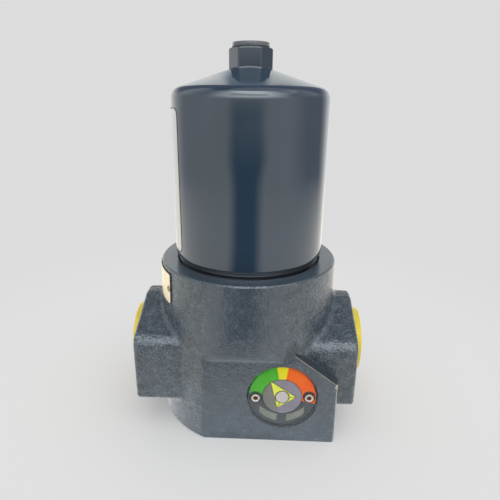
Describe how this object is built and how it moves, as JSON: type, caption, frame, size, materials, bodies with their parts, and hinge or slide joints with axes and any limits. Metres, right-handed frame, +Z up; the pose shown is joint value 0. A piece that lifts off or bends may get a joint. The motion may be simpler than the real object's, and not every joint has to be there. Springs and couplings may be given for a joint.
{
  "type": "high pressure filter",
  "caption": "In-line hydraulic pressure filter: cast head with two threaded ports, screwed bowl on top, pleated element, bypass valve and a dial clogging indicator.",
  "frame": {"origin": "centre of the mounting face under the head, on the bowl's axis", "axes": "+Z up along the bowl's axis, X along the line of the ports with the outlet at +X, indicator dial facing -Y"},
  "size_m": [0.184, 0.1394, 0.2834],
  "materials": {
    "head_paint": "dark blue-grey paint over a cast surface",
    "bowl_paint": "glossy dark blue-black paint on turned steel",
    "plug_paint": "semi-gloss dark paint on steel",
    "nameplate_brass": "satin, blank",
    "label_foil": "thin blank foil, satin",
    "plated_steel": "bright zinc or nickel plate",
    "machined_steel": "turned or pressed, bare",
    "spring_steel": "drawn wire",
    "magnet_metal": "ground, plated",
    "indicator_alloy": "turned, anodised",
    "piston_brass": "turned",
    "seal_rubber": "moulded nitrile",
    "backup_plastic": "white fluoroplastic",
    "filter_medium": "pleated glass fibre",
    "dial_dark": "printed face, dark grey",
    "dial_grey": "printed disc, mid grey",
    "dial_light": "printed fields, light grey",
    "arrow_lime": "printed, lime yellow",
    "scale_green": "printed field, green",
    "scale_yellow": "printed field, yellow",
    "scale_red": "printed field, orange-red",
    "clear_plastic": "clear moulded cover",
    "cap_yellow": "soft moulded plastic, yellow"
  },
  "bodies": {
    "head": {"head_casting": "head_paint", "nameplate": "nameplate_brass", "nameplate_rivets": "plated_steel", "element_spigot": "machined_steel", "element_lower_cap": "machined_steel", "element_o_ring": "seal_rubber", "element_core_tube": "machined_steel", "element_pleats": "filter_medium", "element_upper_cap": "machined_steel", "bypass_seat": "machined_steel", "bypass_cage": "machined_steel", "bypass_spring": "spring_steel", "indicator_housing": "indicator_alloy", "indicator_seals": "seal_rubber", "indicator_end_plug": "machined_steel", "indicator_spring": "spring_steel", "pointer_bush": "piston_brass", "dial_plate": "dial_dark", "scale_green": "scale_green", "scale_yellow": "scale_yellow", "scale_red": "scale_red", "scale_windows": "dial_light", "dial_lens": "clear_plastic", "dial_screws": "plated_steel"},
    "bowl_seals": {"bowl_o_ring": "seal_rubber", "bowl_backup_ring": "backup_plastic"},
    "bowl": {"bowl": "bowl_paint", "bowl_label": "label_foil"},
    "plug_seal": {"drain_plug_seal": "seal_rubber"},
    "drain_plug": {"drain_plug": "plug_paint"},
    "bypass_poppet": {"bypass_poppet": "machined_steel"},
    "piston": {"indicator_piston": "piston_brass", "piston_magnet": "magnet_metal"},
    "pointer": {"pointer_shaft": "machined_steel", "pointer_magnet": "magnet_metal", "pointer_disc": "dial_grey", "pointer_arrow": "arrow_lime", "pointer_hub": "plated_steel"},
    "inlet_cap": {"inlet_cap": "cap_yellow"},
    "outlet_cap": {"outlet_cap": "cap_yellow"}
  },
  "joints": [
    {"name": "bowl_rise", "type": "slide", "parent": "head", "child": "bowl_seals", "axis": [0, 0, 1], "range_m": [0, 0.0241]},
    {"name": "bowl_turn", "type": "hinge", "parent": "bowl_seals", "child": "bowl", "pos_m": [0, 0, 0.112], "axis": [0, 0, 1], "range_deg": [0, 2880]},
    {"name": "plug_rise", "type": "slide", "parent": "bowl", "child": "plug_seal", "axis": [0, 0, 1], "range_m": [0, 0.0121]},
    {"name": "plug_turn", "type": "hinge", "parent": "plug_seal", "child": "drain_plug", "pos_m": [0, 0, 0.274], "axis": [0, 0, 1], "range_deg": [0, 2880]},
    {"name": "bypass_open", "type": "slide", "parent": "head", "child": "bypass_poppet", "axis": [0, 0, -1], "range_m": [0, 0.005], "stiffness_N_per_m": 2000, "springref_m": -0.01, "deforming": ["bypass_spring"]},
    {"name": "piston_slide", "type": "slide", "parent": "head", "child": "piston", "axis": [0, 1, 0], "range_m": [0, 0.0045], "stiffness_N_per_m": 800, "springref_m": -0.004, "deforming": ["indicator_spring"]},
    {"name": "pointer_turn", "type": "hinge", "parent": "head", "child": "pointer", "pos_m": [0.0285, -0.06, 0.0385], "axis": [0, 1, 0], "range_deg": [0, 101]},
    {"name": "inlet_cap_pull", "type": "slide", "parent": "head", "child": "inlet_cap", "axis": [-1, 0, 0], "range_m": [0, 0.045]},
    {"name": "outlet_cap_pull", "type": "slide", "parent": "head", "child": "outlet_cap", "axis": [1, 0, 0], "range_m": [0, 0.045]}
  ],
  "couplings": [
    {"joint": "bowl_rise", "follows": "bowl_turn", "m_per_rad": 0.00047746},
    {"joint": "plug_rise", "follows": "plug_turn", "m_per_rad": 0.00023873},
    {"joint": "pointer_turn", "follows": "piston_slide", "rad_per_m": 387.85}
  ]
}
